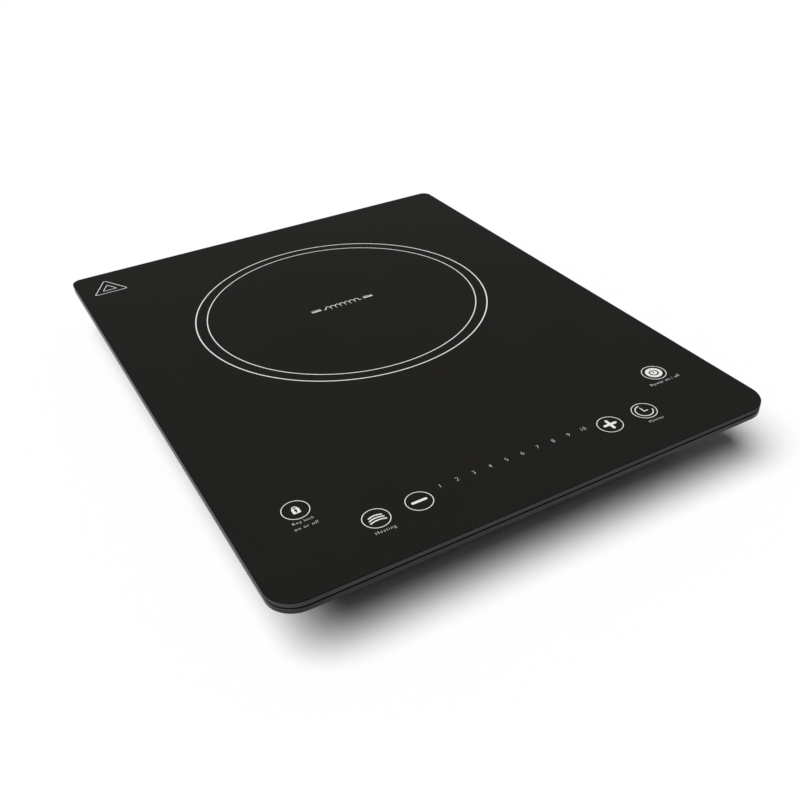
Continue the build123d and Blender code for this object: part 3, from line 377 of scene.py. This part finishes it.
# What makes the material of each slot in the record. After the name come its colour and roughness.
# A grain then has how much its colour varies, its size and its relief, and stripes, turns and weaves
# have their pitch and relief. Lengths are in millimetres.
MATERIALS = {
    "black_glass": black_glass,
    "sealant": lambda name: grained(name, (0.005, 0.005, 0.005), 0.7, size=2.0, level=0.1),
    "frame_plastic": lambda name: grained(name, (0.014, 0.014, 0.014), 0.32, 0.1, 0.5, 0.01, level=0.2),
    "housing_plastic": lambda name: grained(name, (0.034, 0.034, 0.0345), 0.55, 0.25, 0.45, 0.05),
    "zinc_screw": lambda name: grained(name, (0.55, 0.55, 0.53), 0.3, 0.15, 0.6, 0.01, metallic=1.0),
    "soft_rubber": lambda name: grained(name, (0.022, 0.022, 0.022), 0.8, 0.3, 0.8, 0.04, level=0.3),
    "former_plastic": lambda name: grained(name, (0.62, 0.6, 0.54), 0.5, 0.08, 1.5, 0.03),
    "litz_copper": lambda name: wound(name, (0.6, 0.27, 0.12), 0.35, 2.6, 0.5),
    "ferrite": lambda name: grained(name, (0.07, 0.07, 0.075), 0.6, 0.3, 0.7, 0.05),
    "mica": lambda name: grained(name, (0.66, 0.6, 0.5), 0.3, 0.25, 6.0, 0.02, (1, 1, 4)),
    "sensor_glass": lambda name: grained(name, (0.5, 0.22, 0.1), 0.15, 0.2, 1.0, 0.01),
    "lead_sleeve": lambda name: woven(name, (0.55, 0.52, 0.48), 0.8, 0.7, 0.12),
    "brass_post": lambda name: grained(name, (0.65, 0.5, 0.22), 0.3, 0.12, 0.8, 0.01, metallic=1.0),
    "circuit_board": masked_board,
    "sink_aluminium": lambda name: grained(
        name, (0.75, 0.75, 0.76), 0.38, 0.12, 1.5, 0.02, (0.05, 1, 1), metallic=1.0
    ),
    "chip_body": lambda name: grained(name, (0.025, 0.025, 0.027), 0.5, 0.2, 0.4, 0.02),
    "film_capacitor": lambda name: grained(name, (0.7, 0.62, 0.2), 0.35, 0.06, 3.0, 0.01),
    "mains_film": lambda name: grained(name, (0.25, 0.33, 0.5), 0.35, 0.06, 3.0, 0.01),
    "transformer_tape": lambda name: striped(name, (0.72, 0.6, 0.18), 0.3, "Z", 2.5, 0.05, 0.12),
    "fuse_ceramic": lambda name: grained(name, (0.8, 0.79, 0.75), 0.3, 0.05, 2.0, 0.01),
    "varistor_coat": lambda name: grained(name, (0.08, 0.2, 0.5), 0.25, 0.12, 1.2, 0.05),
    "capacitor_sleeve": lambda name: grained(name, (0.06, 0.07, 0.1), 0.25, 0.15, 3.0, 0.02),
    "terminal_plastic": lambda name: grained(name, (0.12, 0.36, 0.2), 0.45, 0.1, 1.0, 0.02),
    "light_body": lambda name: grained(name, (0.85, 0.85, 0.82), 0.15, 0.05, 1.0, 0.01),
    "ribbon_sleeve": lambda name: striped(name, (0.7, 0.7, 0.72), 0.45, "X", 1.27, 0.1, 0.25),
    "fan_plastic": lambda name: grained(name, (0.03, 0.03, 0.032), 0.42, 0.15, 0.6, 0.02),
    "stator_steel": lambda name: striped(name, (0.4, 0.4, 0.42), 0.35, "Z", 0.5, 0.05, 0.3, metallic=1.0),
    "shaft_steel": lambda name: grained(name, (0.7, 0.7, 0.72), 0.12, 0.05, 0.8, 0.005, metallic=1.0),
    "sensor_foam": lambda name: woven(name, (0.09, 0.09, 0.09), 0.9, 0.5, 0.1),
}


def dress_nodes():
    """Gives every CAD node the material of its slot in the record."""
    made = {slot: make(slot) for slot, make in MATERIALS.items()}
    for part in frame["record"]["subparts"]:
        mesh = frame["nodes"][part["node"]].data
        mesh.materials.clear()
        mesh.materials.append(made[part["material_slot"]])


# Printing: flat shapes just above the glass, drawn in millimetres round an origin ----------------

# How far above the glass the first layer of prints lies, and the second above the first
PRINT_T = 0.02
# How finely a rounded corner is drawn
ROUND_STEPS = 6
# The prints lie this much further apart than the parts under them, and this far right and back
PRINT_STRETCH = 1.0033
PRINT_SHIFT = Vector((0.2, 0.7)) * MM
KEY_R = 6.8
KEY_LINE = 0.43
# The zone's circles: radius and line
ZONE_CIRCLES = ((86.5, 0.64), (93.7, 0.76))
DIGIT_SIZE = 3.9
# How much the strokes of the lettering lose on each side
WORD_THINNING = 0.055
DIGIT_THINNING = 0.1
# The numbers from 1 up, and how long each light in the row is
LEVEL_COUNT = 10
LEVEL_LIGHT_LENGTH = 3.2


def printed_over(node_name):
    """Where on the glass the print lies that belongs to a CAD node."""
    return middle_of(node_name) * PRINT_STRETCH + PRINT_SHIFT


def arc(middle, radius, start, end, step=5):
    """Points along an arc, from one angle to another in degrees."""
    count = max(4, round(abs(end - start) / step))
    angles = [radians(start + (end - start) * index / count) for index in range(count + 1)]
    return [Vector(middle) + radius * Vector((cos(angle), sin(angle))) for angle in angles]


def rounded(corners, radius):
    """The outline of a polygon, counterclockwise, with its corners rounded."""
    outline = []
    corners = [Vector(corner) for corner in corners]
    for before, corner, after in zip(corners[-1:] + corners, corners, corners[1:] + corners[:1]):
        back, ahead = (before - corner).normalized(), (after - corner).normalized()
        half = back.angle(ahead) / 2
        middle = corner + (back + ahead).normalized() * radius / sin(half)
        start, end = (corner + way * radius / tan(half) for way in (back, ahead))
        for step in range(ROUND_STEPS + 1):
            chord = start.lerp(end, step / ROUND_STEPS)
            outline.append(middle + (chord - middle).normalized() * radius)
    return outline


def half_disc(end, inner, radius):
    """A round end of a line that comes from the inner point."""
    out = Vector(end) - Vector(inner)
    facing = degrees(atan2(out.y, out.x))
    return arc(end, radius, facing - 90, facing + 90, 15)


def stroke(points, width, closed=False, round_ends=True):
    """The faces of a line of even width through the points."""
    points = [Vector(point) for point in points]
    last = len(points) - 1
    edges = []
    for index, point in enumerate(points):
        ways = []
        if closed or index > 0:
            ways.append((point - points[index - 1]).normalized())
        if closed or index < last:
            ways.append((points[(index + 1) % (last + 1)] - point).normalized())
        across = [Vector((-way.y, way.x)) for way in ways]
        between = (across[0] + across[-1]).normalized()
        reach = between * width / 2 / between.dot(across[0])
        edges.append((point - reach, point + reach))
    following = edges[1:] + edges[:1] if closed else edges[1:]
    faces = [[here[0], there[0], there[1], here[1]] for here, there in zip(edges, following)]
    if round_ends and not closed:
        faces.append(half_disc(points[0], points[1], width / 2))
        faces.append(half_disc(points[-1], points[-2], width / 2))
    return faces


def ring(radius, width, step=5):
    """The faces of a circle's line."""
    return stroke(arc((0, 0), radius, 0, 360, step)[:-1], width, closed=True)


def add_print(name, origin, faces, material, layer=1):
    """A print made of flat faces. A second layer lies over the first."""
    shape = bmesh.new()
    height = GLASS_TOP + layer * PRINT_T * MM
    for face in faces:
        corners = [(origin.x + point.x * MM, origin.y + point.y * MM, height) for point in face]
        made = shape.faces.new([shape.verts.new(corner) for corner in corners])
        made.normal_update()
        if made.normal.z < 0:
            made.normal_flip()
    bmesh.ops.remove_doubles(shape, verts=shape.verts, dist=1e-7)
    mesh = bpy.data.meshes.new(name)
    shape.to_mesh(mesh)
    shape.free()
    add_piece(name, mesh, material)


def add_piece(name, mesh, material):
    """Puts a mesh into the scene as a piece that rides on the case."""
    mesh.materials.append(material)
    piece = bpy.data.objects.new(name, mesh)
    bpy.context.scene.collection.objects.link(piece)
    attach(piece, CASE)


def add_text(name, words, origin, below, size, spacing, thinning, material):
    """A line of plain lettering whose middle lies the given millimetres below its origin."""
    curve = bpy.data.curves.new(name + "_letters", "FONT")
    curve.body = words
    curve.size = size * MM
    curve.space_character = spacing
    curve.offset = -thinning * MM
    letters = bpy.data.objects.new(name + "_letters", curve)
    mesh = bpy.data.meshes.new_from_object(letters)
    bpy.data.objects.remove(letters)
    mesh.name = name
    across = [vert.co.x for vert in mesh.vertices]
    upright = [vert.co.y for vert in mesh.vertices]
    middle = Vector((min(across) + max(across), min(upright) + max(upright))) / 2
    place = (origin.x - middle.x, origin.y - middle.y - below * MM, GLASS_TOP + PRINT_T * MM)
    mesh.transform(Matrix.Translation(place))
    add_piece(name, mesh, material)


def padlock():
    """A closed padlock, and its keyhole to lie over it."""
    half, top, bottom, corner = 1.95, 1.15, -2.75, 0.6
    body = rounded([(-half, bottom), (half, bottom), (half, top), (-half, top)], corner)
    loop, line = 1.15, 0.6
    shackle = [(loop, top)] + arc((0, top + 0.2), loop, 0, 180, 15) + [(-loop, top)]
    hole, slot, foot = 0.75, 0.375, -2.05
    keyhole = arc((0, -0.2), hole, -60, 240, 15) + [Vector((-slot, foot)), Vector((slot, foot))]
    return [body] + stroke(shackle, line, round_ends=False), [keyhole]


def level_lines():
    """Three arched lines, longer towards the bottom."""
    lines = []
    rise, line = 0.95, 0.8
    steps = [index / 8 - 1 for index in range(17)]
    for half, ends in ((3.6, 1.25), (4.05, -0.55), (4.35, -2.45)):
        arch = [(half * along, ends + rise * (1 - along * along)) for along in steps]
        lines += stroke(arch, line, round_ends=False)
    return lines


def plus(reach, width):
    """One outline: four arms with round ends."""
    outline = []
    for quarter in range(4):
        turn = Matrix.Rotation(quarter * pi / 2, 2)
        arm = [Vector((width / 2, -width / 2))] + arc((reach, 0), width / 2, -90, 90, 15)
        outline += [turn @ point for point in arm]
    return [outline]


def clock():
    """An open ring and two hands."""
    line = 0.6
    face = stroke(arc((0, 0), 4.75, 88, 350), line, round_ends=False)
    hands = [(-0.35, 3.3), (-0.35, -0.4), (2.2, -0.4)]
    return face + stroke(hands, line, round_ends=False)


def standby():
    """A filled disc, and the on/off mark to lie over it."""
    mark = stroke(arc((0, 0), 2.45, 128, 412), 0.85) + stroke([(0, -0.1), (0, 2.9)], 0.75)
    return [arc((0, 0), 4.8, 0, 355)], mark


def key_signs():
    """What stands inside each key's ring: its pale faces, and the dark ones over them."""
    return {
        "lock": padlock(),
        "level": (level_lines(), []),
        "minus": (stroke([(-3.5, 0), (3.5, 0)], 1.6), []),
        "plus": (plus(3.35, 1.7), []),
        "timer": (clock(), []),
        "power": standby(),
    }


# For each key: its words, how far below the ring's middle, their size and their spacing
KEY_WORDS = {
    "lock": (("Key lock", 9.3, 2.8, 1.1), ("on or off", 13.1, 2.9, 1.15)),
    "level": (("Heating", 9.7, 2.9, 1.2),),
    "timer": (("Minutes", 9.5, 2.7, 1.1),),
    "power": (("Power on / off", 9.4, 3.2, 1.08),),
}


def add_keys(ink, glass):
    """Each key's ring, sign and words, over the foam block that senses the finger."""
    for key, (pale, dark) in key_signs().items():
        origin = printed_over("touch_sensor_" + key)
        add_print(f"key_{key}_ring", origin, ring(KEY_R, KEY_LINE), ink)
        add_print(f"key_{key}_sign", origin, pale, ink)
        if dark:
            add_print(f"key_{key}_sign_dark", origin, dark, glass, layer=2)
        for line, (words, below, size, spacing) in enumerate(KEY_WORDS.get(key, ())):
            name = f"key_{key}_words_{line + 1}"
            add_text(name, words, origin, below, size, spacing, WORD_THINNING, ink)


def add_level_numbers(ink):
    """The numbers 1 to 10, each over its own light."""
    low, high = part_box("level_lights")
    pitch = (high.x - low.x - LEVEL_LIGHT_LENGTH * MM) / (LEVEL_COUNT - 1) * PRINT_STRETCH
    middle = printed_over("level_lights")
    for index in range(LEVEL_COUNT):
        place = middle + Vector(((index - (LEVEL_COUNT - 1) / 2) * pitch, 0))
        add_text(f"level_number_{index + 1}", str(index + 1), place, 0, DIGIT_SIZE, 1, DIGIT_THINNING, ink)


def zone_mark():
    """A coil of seven tall turns, drawn as one line, between two groups of three bars."""
    loop, rise, foot, count = 1.7, 1.7, -1.1, 7
    lead, line = 1.6, 0.5
    near, far = 15.2, 21.7
    coil = [Vector((-loop * count - lead, foot))]
    for index in range(count):
        turn = arc((0, 0), loop, 180, 0, 20)
        middle = (2 * index - count + 1) * loop
        coil += [Vector((middle + point.x, foot + point.y * rise)) for point in turn][index > 0:]
    coil.append(Vector((loop * count + lead, foot)))
    faces = stroke(coil, line, round_ends=False)
    for side in (-1, 1):
        for row, width in ((-0.5, 1.0), (0.7, 0.35), (1.5, 0.2)):
            faces += stroke([(side * near, row), (side * far, row)], width, round_ends=False)
    return faces


def add_zone(ink):
    """The cooking zone's two fine circles, and the mark in its middle."""
    origin = printed_over("mica_sheet")
    for number, (radius, line) in enumerate(ZONE_CIRCLES):
        add_print(f"zone_circle_{number + 1}", origin, ring(radius, line, 1.5), ink)
    add_print("zone_mark", origin, zone_mark(), ink)


def add_corner_mark(ink):
    """A plain mark in the back left corner: a triangle within a triangle."""
    origin = Vector((GLASS_LOW.x, GLASS_HIGH.y))
    line, inner_share = 0.5, 0.42
    corners = [Vector((8.8, -32.5)), Vector((31.0, -32.5)), Vector((19.9, -12.6))]
    middle = sum(corners, Vector((0, 0))) / 3
    inner = [middle + (corner - middle) * inner_share for corner in corners]
    add_print("corner_mark", origin, stroke(rounded(corners, 1.0), line, closed=True), ink)
    add_print("corner_mark_inner", origin, stroke(rounded(inner, 0.5), line, closed=True), ink)


def add_printing():
    """All that is printed on the glass. The dark prints are in the glass's own black."""
    ink = grained("print_ink", (0.78, 0.78, 0.77), 0.55, 0.03, 2.0, 0.005, level=0.2)
    glass = frame["nodes"]["glass_plate"].data.materials[0]
    add_zone(ink)
    add_corner_mark(ink)
    add_keys(ink, glass)
    add_level_numbers(ink)


add_camera()
add_world()
add_key_light()
add_floor()
dress_nodes()
add_printing()
